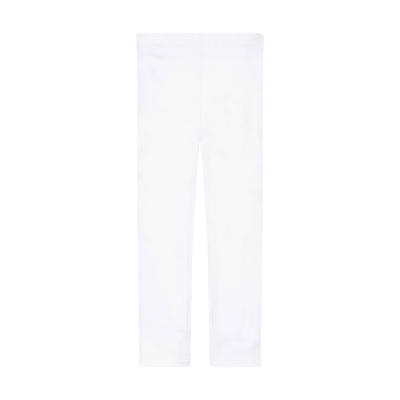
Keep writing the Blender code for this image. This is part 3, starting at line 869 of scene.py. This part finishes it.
def leg_grid(side):
    """A leg's outer skin with its normals, places and looks, and the points of its inner skin."""
    down = paced(LEG_ROWS)[:, None]
    section = leg_section(down)
    first, last = leg_seam_edges(down, section)
    along = leg_columns(section, first, last)
    track = racetrack(along, section)
    across = side * track.x
    front = on_front(track, section)

    relief = gathers(side * (along - section.quarter), down, front) + grooves(down)
    relief = relief + seam_relief(side, down, along - first, last - along)
    relief = relief + (1 - front) * creased(BACK_CREASES, across, down)
    relief = np.clip(relief, -DEEPEST_RELIEF * CLOTH, OVER_TABLE * front)
    lift = leg_lift(side, across, down, section, front, along - first)
    slide = front_slides(across, down, front)
    outside = skin_points(side, track, relief, WAIST_Y - down, lift, slide)
    inside = skin_points(side, track, -CLOTH, WAIST_Y - down, lift, slide)

    from_inner = np.where(down < RISE, FAR, np.abs(across) - section.between)
    looks = looks_of(across, down, front, section, from_inner)
    down = np.broadcast_to(down, along.shape)
    return Grid(outside, skin_normals(side, track), along, down, looks), inside


def make_leg(name, side):
    """The section of a leg is a closed loop, out along the outer skin and home along the inner one."""
    grid, inside = leg_grid(side)
    rows, columns = grid.along.shape
    loop = np.concatenate([grid.points, inside[:, ::-1]], axis=1)
    loop_u = np.hstack([grid.along, grid.along[:, ::-1]])
    loop_v = np.hstack([grid.down, grid.down[:, ::-1]])
    row, column = grid_faces(rows, 2 * columns, False, True)
    column = column % (2 * columns)

    # The two open ends of the tube are closed by strips between the skins.
    here = np.arange(columns - 1)[:, None]
    strip = np.hstack([here + 1, here, 2 * columns - 1 - here, 2 * columns - 2 - here])
    row = np.vstack([row, np.zeros_like(strip), np.full_like(strip, rows - 1)])
    column = np.vstack([column, strip, strip[:, ::-1]])

    quads = row * 2 * columns + column
    uv = np.stack([loop_u[row, column], loop_v[row, column]], axis=-1)
    # the inner skin gets no painted shade, and the same tint as the outside
    share_inside = {"PaintedShade": 0, "Lilac": 1}
    looks = {}
    for look, values in grid.looks.items():
        looks[look] = np.hstack([values, share_inside[look] * values[:, ::-1]])
    return make_piece(name, loop.reshape(-1, 3), quads, uv, looks), grid


left_leg, left_grid = make_leg("left_leg_cloth", 1)
right_leg, right_grid = make_leg("right_leg_cloth", -1)

# %% [markdown]
# ## The waistband and the hems
#
# Both are short tubes with one open edge, where the cloth turns back on itself. So both are the same
# surface: a profile carried round the racetrack. The profile goes up the outside, over the edge in a
# half circle and down the inside, and its grid closes both ways, like a ring doughnut.
#
# The relief belongs to the outside alone. Its share falls from 1 on the outer skin to 0 on the inside.

# %% Profile of the waistband and the hems
Ring = namedtuple("Ring", "edge inwards depth wall corner stitches columns")
BAND_COLUMNS = (8, 10 * GATHERS_ON_FRONT, 16, 10 * GATHERS_ON_FRONT, 8)
HEM_COLUMNS = (6, 72, 12, 48, 6)
WAISTBAND = Ring(0.0, 1, BAND_DEPTH, BAND_WALL, 0.0060, BAND_STITCHES, BAND_COLUMNS)
HEM = Ring(LENGTH, -1, HEM_DEPTH, HEM_WALL, 0.0048, HEM_STITCHES, HEM_COLUMNS)
ROWS_OVER_GROOVE = (-1.6, -0.8, 0, 0.8, 1.6)  # in groove widths from its middle
EVEN_ROWS = 12  # outside, before those beside a groove make way
TURN_ROWS = 9
INSIDE_ROWS = 7
CLOSEST_TO_END = 0.0001


def ring_profile(ring):
    """Distance from the open edge, and depth in the wall: straight, round a half circle, straight.

    The rows are closest over each stitched groove, so that it is round.
    """
    round_off = ring.wall / 2
    stitches = np.abs(np.array(ring.stitches) - ring.edge)
    over_grooves = (stitches[:, None] + GROOVE_WIDTH * np.array(ROWS_OVER_GROOVE)).ravel()
    over_grooves = over_grooves[over_grooves < ring.depth - CLOSEST_TO_END]
    even = np.linspace(round_off, ring.depth, EVEN_ROWS)
    clear = even[np.abs(even[:, None] - stitches).min(axis=1) > 2 * GROOVE_WIDTH]
    outside = np.unique(np.concatenate([clear, over_grooves, [ring.depth]]))[::-1]
    inside = np.linspace(round_off, ring.depth, INSIDE_ROWS)
    turn = np.linspace(0, math.pi, TURN_ROWS)[1:-1]
    from_edge = np.concatenate([outside, round_off * (1 - np.sin(turn)), inside])
    depth = np.concatenate([0 * outside, round_off * (1 - np.cos(turn)), 0 * inside + ring.wall])
    return from_edge, depth


def ring_section(ring, down):
    """A ring's section, row by row. The waistband's goes round the whole garment."""
    outer = curve_through(OUTLINE, "outer", down)
    inner = -outer if ring is WAISTBAND else curve_through(OUTLINE, "inner", down)
    return section_of(inner, outer, curve_through(LAY, "fold", down))


def ring_columns(ring, section):
    """Distances round the section of a ring's columns, from the inner fold round to it again."""
    quarter, flat = section.quarter, section.flat
    whole = 4 * quarter + 2 * flat
    marks = np.hstack([0 * quarter, quarter, quarter + flat, 3 * quarter + flat, whole - quarter, whole])
    return between_marks(marks, ring.columns)


def seams_over(ring, section):
    """Distances along the section of the seams that run over a ring."""
    quarter, flat = section.quarter, section.flat
    if ring is WAISTBAND:
        return quarter + flat / 2, 3 * quarter + 1.5 * flat  # centre front and centre back
    return (quarter + INSEAM_ROLL,)


for name, ring in (("waistband", WAISTBAND), ("hem", HEM)):
    print("%s: %d rows in its profile" % (name, len(ring_profile(ring)[0])))

# %% Make the waistband and the hems
DEEPEST_IN_RING = 0.0009  # the deepest relief of the waistband and the hems
SCALLOP = 0.35  # the share of a gather's height by which it raises the waist edge
JUST_SHORT = 1e-9  # keeps the last column from wrapping round to the first one's place


def corner_rounding(ring, track, section):
    """How far the edge falls back near a fold, along a quarter circle of the ring's corner radius."""
    from_fold = np.minimum(section.outer - track.x, track.x - section.inner)
    inside = np.clip(1 - from_fold / ring.corner, 0, 1)
    return ring.corner * (1 - np.sqrt(1 - inside**2))


def ring_seams(ring, section, along, front):
    """A valley for each seam that runs over the ring, and the step over a hem's allowance."""
    relief = 0.0
    for seam in seams_over(ring, section):
        relief = relief + seam_valley(along - seam)
        if ring is HEM:
            relief = relief + front * allowance(along - seam)
    return relief


def ring_grid(ring, side):
    """A ring's points with their normals, places and looks. Its last column falls on its first."""
    from_edge, depth = (values[:, None] for values in ring_profile(ring))
    down = ring.edge + ring.inwards * from_edge
    section = ring_section(ring, down)
    along = ring_columns(ring, section)
    track = racetrack(np.minimum(along, along[:, -1:] - JUST_SHORT), section)
    across = side * track.x
    front = on_front(track, section)
    share = 1 - smooth_step(depth / ring.wall)
    to_body = 1 - from_edge / ring.depth

    relief = grooves(down)
    y = WAIST_Y - down - ring.inwards * corner_rounding(ring, track, section) * to_body**2
    if ring is WAISTBAND:
        place = side * (along - section.quarter - section.flat / 2)
        relief = relief + gathers(place, down, front)
        y = y + share * SCALLOP * gathers(place, down, 1.0) * to_body**4
    relief = relief + ring_seams(ring, section, along, front)
    outwards = share * np.clip(relief, -DEEPEST_IN_RING, OVER_TABLE * front) - depth
    lift = front_lift(side, across, down, section)
    lift = front * (lift + share * front_creases(across, down, section))
    points = skin_points(side, track, outwards, y, lift, front_slides(across, down, front))

    from_inner = from_edge if ring is WAISTBAND else track.x - section.inner
    looks = looks_of(across, down, front * share, section, from_inner)
    down = np.broadcast_to(down, along.shape)
    return Grid(points, skin_normals(side, track), along, down, looks)


def make_ring(name, ring, side):
    """The last column only gives its UVs, and the mesh closes on the first. The rows close as well."""
    grid = ring_grid(ring, side)
    rows, columns = grid.along.shape[0], grid.along.shape[1] - 1
    row, column = grid_faces(rows, columns, True, True)
    quads = (row % rows) * columns + column % columns
    uv = np.stack([grid.along[row % rows, column], grid.down[row % rows, column]], axis=-1)
    looks = {look: values[:, :-1] for look, values in grid.looks.items()}
    return make_piece(name, grid.points[:, :-1].reshape(-1, 3), quads, uv, looks), grid


band, band_grid = make_ring("band_cloth", WAISTBAND, 1)
left_hem, left_hem_grid = make_ring("left_hem_cloth", HEM, 1)
right_hem, right_hem_grid = make_ring("right_hem_cloth", HEM, -1)

# %% [markdown]
# ## Stitches
#
# A coverstitch machine has two needles, so the outside shows two rows of short stitches. Each stitch
# comes up out of the cloth, lies along it for under 3 mm and goes down again. That is a rod that
# follows the skin, with a height that falls off at its two ends until they are buried.
#
# The rows are the skin's own rows of points, measured by their length and cut into equal stitches, so
# they follow every gather. The seams show only the needle thread, as a fine ladder down in the valley.
# All the stitches of a row go into one mesh.

# %% Make the stitches
THREAD = 0.00016  # radius
STITCH_PITCH = 0.0029
STITCH_SHARE = 0.84  # the part of the pitch that lies on top
LADDER_PITCH = 0.0018
LADDER_LENGTH = 0.0007
LADDER_THREAD = 0.00009
LADDER_STARTS = 0.004  # below the crotch
RINGS_IN_STITCH = 7
SIDES_OF_THREAD = 6
THREAD_RIDES = 0.45  # how high its middle lies over the cloth, in radii
THREAD_DIVES = 1.5  # how much lower its ends are


def unit(vectors):
    """The same directions, one long."""
    return vectors / np.linalg.norm(vectors, axis=-1, keepdims=True)


def length_along(path):
    """How far along a path each of its points lies, from the first one."""
    return np.concatenate([[0], np.cumsum(np.linalg.norm(np.diff(path, axis=0), axis=1))])


def follow(values, gone, at):
    """The values that a path's points carry, at other distances along it."""
    return np.stack([np.interp(at, gone, values[:, axis]) for axis in range(3)], axis=-1)


def make_threads(name, centres, ups, radius):
    """Rods round centre lines. Their radius is R sqrt(1 - 0.9 t^4), and t runs from -1 to 1.

    Their middle rides over the cloth, and their height falls off as t^4 until the ends are buried.
    """
    count, rings, _ = centres.shape
    t = np.linspace(-1, 1, rings)
    tangent = unit(np.gradient(centres, axis=1))
    beside = unit(np.cross(tangent, ups))
    up = np.cross(beside, tangent)
    thick = radius * np.sqrt(1 - 0.9 * t**4)[None, :, None, None]
    height = radius * (THREAD_RIDES - THREAD_DIVES * t**4)[None, :, None]
    turn = np.linspace(0, 2 * math.pi, SIDES_OF_THREAD, endpoint=False)[None, None, :, None]
    spoke = np.cos(turn) * beside[:, :, None] + np.sin(turn) * up[:, :, None]
    points = (centres + height * up)[:, :, None] + thick * spoke
    points[..., 2] = np.maximum(points[..., 2], 0)  # the table is under them

    row, column = grid_faces(rings, SIDES_OF_THREAD, False, True)
    one = row * SIDES_OF_THREAD + column % SIDES_OF_THREAD
    uv_one = np.stack([t[row], column / SIDES_OF_THREAD], axis=-1)
    first_cap = np.array([[3, 2, 1, 0], [5, 4, 3, 0]])
    last_cap = (rings - 1) * SIDES_OF_THREAD + np.array([[0, 1, 2, 3], [0, 3, 4, 5]])
    one = np.vstack([one, first_cap, last_cap])
    uv_one = np.concatenate([uv_one, np.zeros((4, 4, 2))])
    step = np.arange(count)[:, None, None] * rings * SIDES_OF_THREAD
    quads = (one[None] + step).reshape(-1, 4)
    uv = np.broadcast_to(uv_one, (count, *uv_one.shape)).reshape(-1, 4, 2)
    return make_piece(name, points.reshape(-1, 3), quads, uv)


def row_of_stitches(path, ups):
    """Centre lines of equal stitches along a closed path, from its length measured point by point."""
    gone = length_along(path)
    count = round(gone[-1] / STITCH_PITCH)
    pitch = gone[-1] / count
    t = np.linspace(-1, 1, RINGS_IN_STITCH)
    at = (np.arange(count)[:, None] + 0.5 + 0.5 * STITCH_SHARE * t[None]) * pitch
    return follow(path, gone, at), unit(follow(ups, gone, at))


def ring_stitches(name, ring, grid):
    """Two rows of stitches, each on the skin's row at that distance from the edge."""
    from_edge, depth = ring_profile(ring)
    rows = [np.argmin(np.abs(from_edge - abs(place - ring.edge)) + depth) for place in ring.stitches]
    made = [row_of_stitches(grid.points[row], grid.normal[row]) for row in rows]
    centres, ups = (np.concatenate(part) for part in zip(*made))
    return make_threads(name, centres, ups, THREAD)


def ladder(name, edges, rows):
    """Short bars over a valley. Each item of `edges` is (one side's points, the other's, normals)."""
    centre_lines, all_ups = [], []
    for near, far, ups in edges:
        middle = (near[rows] + far[rows]) / 2
        gone = length_along(middle)
        at = np.arange(LADDER_PITCH / 2, gone[-1], LADDER_PITCH)
        over = unit(follow(far[rows] - near[rows], gone, at))
        t = np.linspace(-1, 1, RINGS_IN_STITCH)[None, :, None]
        centre_lines.append(follow(middle, gone, at)[:, None] + 0.5 * LADDER_LENGTH * t * over[:, None])
        all_ups.append(np.repeat(unit(follow(ups[rows], gone, at))[:, None], RINGS_IN_STITCH, axis=1))
    return make_threads(name, np.concatenate(centre_lines), np.concatenate(all_ups), LADDER_THREAD)


row_places = paced(LEG_ROWS)
above_crotch = row_places < RISE - CLOSING_LENGTH
below_crotch = row_places > RISE + LADDER_STARTS
NEAR = 1  # the column just inside a seam edge
left_skin, right_skin, left_normal = left_grid.points, right_grid.points, left_grid.normal
centre_edges = (
    (right_skin[:, NEAR], left_skin[:, NEAR], left_normal[:, NEAR]),
    (left_skin[:, -1 - NEAR], right_skin[:, -1 - NEAR], left_normal[:, -1 - NEAR]),
)
centre_ladder = ladder("centre_seam_thread", centre_edges, above_crotch)
inseam_ladders = []
for name, grid in (("left_inseam_thread", left_grid), ("right_inseam_thread", right_grid)):
    edges = ((grid.points[:, -1 - NEAR], grid.points[:, NEAR], grid.normal[:, NEAR]),)
    inseam_ladders.append(ladder(name, edges, below_crotch))
band_stitches = ring_stitches("band_stitches", WAISTBAND, band_grid)
left_hem_stitches = ring_stitches("left_hem_stitches", HEM, left_hem_grid)
right_hem_stitches = ring_stitches("right_hem_stitches", HEM, right_hem_grid)

# %% [markdown]
# ## Jersey
#
# Jersey is a plain knit. Its right side shows columns of small V shapes, about 0.7 mm wide, which run
# down the leg. From a step away they give only a soft, matt surface, but they have to be there for
# anyone who comes closer. The knit is worked out from the UV map, in millimetres of cloth: the distance
# from a column's middle gives both its rounded back and the slant of the V.
#
# Cotton also has a short nap, which brightens it at grazing angles. The sheen of the Principled shader
# does that. A slow noise keeps the white from being dead even, and a fast one gives the fibres.
#
# The knit is used by more than one material, so it is a node group with named inputs and outputs.

# %% Node helpers and the knit group
FIBRE_SCALE = 2600  # in features for each metre
TONE_SCALE = 13
TONE_CONTRAST = 3.0


def add_node(tree, kind, **values):
    """A node with its properties set. Sockets are filled by fill()."""
    node = tree.nodes.new(kind)
    for name, value in values.items():
        setattr(node, name, value)
    return node


def fill(tree, node, **sockets):
    """Sets or links sockets by name, with _ for a space: a number is set, and a socket is linked."""
    for name, value in sockets.items():
        socket = node.inputs[int(name[1:])] if name[0] == "_" else node.inputs[name.replace("_", " ")]
        if isinstance(value, bpy.types.NodeSocket):
            tree.links.new(value, socket)
        else:
            socket.default_value = value
    return node


def maths(tree, operation, *values):
    """A Math node's result, from one to three numbers or sockets."""
    node = add_node(tree, "ShaderNodeMath", operation=operation)
    fill(tree, node, **{"_%d" % i: value for i, value in enumerate(values)})
    return node.outputs[0]


def noise(tree, vector, scale, detail):
    """A Noise texture's value."""
    node = add_node(tree, "ShaderNodeTexNoise")
    fill(tree, node, Vector=vector, Scale=scale, Detail=detail, Roughness=0.6)
    return node.outputs["Fac"]


def mix_colours(tree, share, first, second, way="MIX"):
    """A Mix node's colour. Its colour sockets are number 6 and 7, and its colour output is number 2."""
    node = add_node(tree, "ShaderNodeMix", data_type="RGBA", blend_type=way)
    fill(tree, node, _0=share, _6=first, _7=second)
    return node.outputs[2]


def build_jersey_group():
    """Knit and fibre heights from a place on the cloth, and a slow tone from a place in space."""
    tree = bpy.data.node_groups.new("Jersey knit", "ShaderNodeTree")
    interface = tree.interface
    for name in ("Cloth", "Place"):
        interface.new_socket(name, in_out="INPUT", socket_type="NodeSocketVector")
    for name, value in (("Column Width", 0.0007), ("Course Height", 0.00055)):
        socket = interface.new_socket(name, in_out="INPUT", socket_type="NodeSocketFloat")
        socket.default_value = value
    for name in ("Height", "Fibres", "Tone"):
        interface.new_socket(name, in_out="OUTPUT", socket_type="NodeSocketFloat")
    inputs = add_node(tree, "NodeGroupInput")
    outputs = add_node(tree, "NodeGroupOutput")
    cloth = inputs.outputs["Cloth"]
    split = fill(tree, add_node(tree, "ShaderNodeSeparateXYZ"), Vector=cloth)

    # Distance from the middle of the column, 0 to 0.5, from the repeating part of u / width
    columns = maths(tree, "DIVIDE", split.outputs["X"], inputs.outputs["Column Width"])
    repeat = maths(tree, "FRACT", columns)
    off_middle = maths(tree, "ABSOLUTE", maths(tree, "SUBTRACT", repeat, 0.5))
    # The rounded back of a column is 1 - (2d)^2, and the V slants by 0.9 courses across it
    squared = maths(tree, "POWER", maths(tree, "MULTIPLY", off_middle, 2.0), 2.0)
    back = maths(tree, "SUBTRACT", 1.0, squared)
    course = maths(tree, "DIVIDE", split.outputs["Y"], inputs.outputs["Course Height"])
    slanted = maths(tree, "MULTIPLY_ADD", off_middle, 1.8, course)
    loops = maths(tree, "SINE", maths(tree, "MULTIPLY", slanted, 2 * math.pi))
    loops = maths(tree, "MULTIPLY_ADD", loops, 0.3, 0.7)
    fill(tree, outputs, Height=maths(tree, "MULTIPLY", back, loops))
    fill(tree, outputs, Fibres=noise(tree, cloth, FIBRE_SCALE, 3))
    slow = noise(tree, inputs.outputs["Place"], TONE_SCALE, 4)
    tone = maths(tree, "MULTIPLY_ADD", slow, TONE_CONTRAST, (1 - TONE_CONTRAST) / 2)
    fill(tree, outputs, Tone=tone)
    return tree


jersey_group = build_jersey_group()
print("knit group with", [item.name for item in jersey_group.interface.items_tree])

# %% [markdown]
# ## The finishes
#
# White cloth isn't white paint. It reflects about four fifths of the light, and a slow random tone leans
# it a little towards lilac. The attribute Lilac leans it further, as a painted tint of shade, and a point
# attribute of painted shade darkens the creases and the folds' rims. The knit is a little more open where
# the elastic holds the waistband stretched, so that material has wider columns. The thread is a smoother,
# closer white, with a twist that winds round it.

# %% Make the materials
CLOTH_WHITE = (0.800, 0.8010, 0.7945, 1.0)
# a slow random tone and a painted lilac tint of shade both mix towards this
CLOTH_LILAC = (0.7885, 0.7810, 0.8175, 1.0)
PAINTED_HOLLOW_SHADE = (0.923, 0.917, 0.928, 1.0)  # painted shade: the share of the colour that the deepest painted hollow keeps
THREAD_WHITE = (0.83, 0.83, 0.84, 1.0)


def new_material(name):
    """An empty Principled material, with its tree and shader."""
    material = bpy.data.materials.new(name)
    material.use_nodes = True
    return material, material.node_tree, material.node_tree.nodes["Principled BSDF"]


def jersey(name, column_width, course_height, knit_depth):
    """Jersey: painted shade and tint by place and a slow tone vary the colour; knit and fibres give
    bumps.
    """
    material, tree, shader = new_material(name)
    cloth = add_node(tree, "ShaderNodeUVMap", uv_map="Cloth").outputs["UV"]
    place = add_node(tree, "ShaderNodeTexCoord").outputs["Object"]
    knit = add_node(tree, "ShaderNodeGroup", node_tree=jersey_group)
    fill(tree, knit, Cloth=cloth, Place=place, Column_Width=column_width, Course_Height=course_height)
    # painted shade from the point attribute: the creases, the folds' rims and a strip above each hem
    hollow = add_node(tree, "ShaderNodeAttribute", attribute_name="PaintedShade").outputs["Fac"]
    leans = add_node(tree, "ShaderNodeAttribute", attribute_name="Lilac").outputs["Fac"]
    leans = maths(tree, "MULTIPLY_ADD", knit.outputs["Tone"], -2 * LILAC_TO_SPARE, leans)
    mottled = mix_colours(tree, leans, CLOTH_WHITE, CLOTH_LILAC)
    # painted shade: the colour is multiplied down by it
    colour = mix_colours(tree, hollow, mottled, PAINTED_HOLLOW_SHADE, "MULTIPLY")
    loops = add_node(tree, "ShaderNodeBump")
    fill(tree, loops, Height=knit.outputs["Height"], Distance=knit_depth, Strength=0.6)
    fuzz = add_node(tree, "ShaderNodeBump")
    fill(tree, fuzz, Height=knit.outputs["Fibres"], Distance=0.00004, Strength=0.5)
    fill(tree, fuzz, Normal=loops.outputs["Normal"])
    rough = maths(tree, "MULTIPLY_ADD", knit.outputs["Fibres"], 0.12, 0.80)
    fill(tree, shader, Base_Color=colour, Roughness=rough, Normal=fuzz.outputs["Normal"])
    fill(tree, shader, Specular_IOR_Level=0.25, Sheen_Weight=0.05, Sheen_Roughness=0.6)
    return material


def thread():
    """Sewing thread: a twist of three strands, as slanted stripes round the rod."""
    material, tree, shader = new_material("white thread")
    cloth = add_node(tree, "ShaderNodeUVMap", uv_map="Cloth").outputs["UV"]
    split = fill(tree, add_node(tree, "ShaderNodeSeparateXYZ"), Vector=cloth)
    twist = maths(tree, "MULTIPLY_ADD", split.outputs["X"], 2.5, split.outputs["Y"])
    strands = maths(tree, "SINE", maths(tree, "MULTIPLY", twist, 6 * math.pi))
    bump = add_node(tree, "ShaderNodeBump")
    fill(tree, bump, Height=strands, Distance=0.00001, Strength=0.4)
    rough = maths(tree, "MULTIPLY_ADD", strands, 0.06, 0.60)
    fill(tree, shader, Base_Color=THREAD_WHITE, Roughness=rough, Normal=bump.outputs["Normal"])
    return material


leg_jersey = jersey("white jersey", column_width=0.00070, course_height=0.00055, knit_depth=0.00012)
band_jersey = jersey(
    "white jersey over elastic", column_width=0.00080, course_height=0.00055, knit_depth=0.00014
)
white_thread = thread()
print("materials:", leg_jersey.name + ",", band_jersey.name + ",", white_thread.name)

# %% [markdown]
# ## What each piece is
#
# Each piece takes its finish and moves with the root body, and the frame's solid that it stands for
# is hidden. The size that each piece of cloth was cut to is worked out. For a tube that is once all
# round, and the area comes from the widths of the same grid.

# %% Give each piece its finish and body, and hide its solid
def flat_leg(grid):
    """Width, length and area of a leg once it is cut out and flat: the mean width times each step."""
    width = grid.along[:, -1] - grid.along[:, 0]
    steps = np.diff(grid.down[:, 0])
    area = float((steps * (width[1:] + width[:-1]) / 2).sum())
    return float(width.max()), float(steps.sum()), area


def flat_round(grid):
    """Length of the cloth of a ring: twice its breadth from fold to fold."""
    return float(2 * np.ptp(grid.points[0, :, 0]))


leg_width, leg_length, leg_area = flat_leg(left_grid)
leg_flat = (leg_width, leg_length)
band_flat = (flat_round(band_grid), BAND_DEPTH)
hem_flat = (flat_round(left_hem_grid), HEM_DEPTH)
left_ladder, right_ladder = inseam_ladders

Part = namedtuple("Part", "cloth node finish flat area threads")
PARTS = (
    Part(band, "waistband", band_jersey, band_flat, None, (band_stitches,)),
    Part(left_leg, "left_leg", leg_jersey, leg_flat, leg_area, (centre_ladder, left_ladder)),
    Part(right_leg, "right_leg", leg_jersey, leg_flat, leg_area, (right_ladder,)),
    Part(left_hem, "left_hem", leg_jersey, hem_flat, None, (left_hem_stitches,)),
    Part(right_hem, "right_hem", leg_jersey, hem_flat, None, (right_hem_stitches,)),
)
for part in PARTS:
    part.cloth.data.materials.append(part.finish)
    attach(part.cloth, "root")
    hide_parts(part.node)
    for piece in part.threads:
        piece.data.materials.append(white_thread)
        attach(piece, "root")
    print("%s: cut %.0f x %.0f mm" % (part.node, 1000 * part.flat[0], 1000 * part.flat[1]))

# %% [markdown]
# ## Floor, light and camera
#
# The garment was photographed from straight above on pure white. The floor here is pale grey and glows
# by itself, like a light table, so it stays white whatever the lamps do, and it returns light to the
# rims of the cloth. The sky gives even light from all round. One far, soft lamp from the picture's upper
# left gives the creases a light side and a dark side.
#
# The camera looks straight down with a long lens, so the sides of the folds aren't seen. Its distance
# follows from the width of the frame: 400 pixels, at the size of one pixel on the cloth.

# %% Floor, light and camera
METRES_PER_PIXEL = 0.001919
FRAME_WIDTH = 400 * METRES_PER_PIXEL
LENS = 100
SENSOR = 36
FLOOR_HALF = 3.0
FLOOR_DROP = 0.0002  # how far it lies under the cloth, so that the two don't share a plane
FLOOR_GREY = (0.20, 0.20, 0.20, 1)
FLOOR_GLOW = 0.82


def make_floor():
    """A large square just under the garment that glows like a light table."""
    mesh = bpy.data.meshes.new("floor")
    signs = ((-1, -1), (1, -1), (1, 1), (-1, 1))
    corners = [(x * FLOOR_HALF, y * FLOOR_HALF, -FLOOR_DROP) for x, y in signs]
    mesh.from_pydata(corners, [], [(0, 1, 2, 3)])
    material, tree, shader = new_material("pale floor")
    fill(tree, shader, Base_Color=FLOOR_GREY, Roughness=0.9, Specular_IOR_Level=0.0)
    fill(tree, shader, Emission_Color=(1, 1, 1, 1), Emission_Strength=FLOOR_GLOW)
    mesh.materials.append(material)
    floor = bpy.data.objects.new("floor", mesh)
    bpy.context.scene.collection.objects.link(floor)


def make_lamp(name, leans, turns, softness, strength, colour):
    """Light from far away, so it is even: it leans from the vertical and turns about it, in degrees."""
    light = bpy.data.lights.new(name, "SUN")
    light.angle = math.radians(softness)
    light.energy = strength
    light.color = colour
    lamp = bpy.data.objects.new(name, light)
    lamp.rotation_euler = (math.radians(leans), 0, math.radians(turns))
    bpy.context.scene.collection.objects.link(lamp)


def make_sky(strength, colour):
    """Even light from all round."""
    world = bpy.data.worlds.new("even light")
    world.use_nodes = True
    world.node_tree.nodes["Background"].inputs["Color"].default_value = colour
    world.node_tree.nodes["Background"].inputs["Strength"].default_value = strength
    bpy.context.scene.world = world


def make_camera():
    """Distance = frame width * lens / sensor, measured from the floor."""
    data = bpy.data.cameras.new("camera")
    data.lens = LENS
    data.sensor_width = SENSOR
    camera = bpy.data.objects.new("camera", data)
    camera.location = (0, 0, FRAME_WIDTH * LENS / SENSOR)
    bpy.context.scene.collection.objects.link(camera)
    bpy.context.scene.camera = camera
    return camera


make_floor()
make_sky(strength=1.10, colour=(0.998, 0.995, 1.008, 1.0))
make_lamp("soft lamp", leans=55, turns=192, softness=40, strength=0.50, colour=(1.0, 1.0, 0.99))
bpy.context.scene.view_settings.view_transform = "Standard"
camera = make_camera()
print("camera %.2f m above the garment" % camera.location.z)
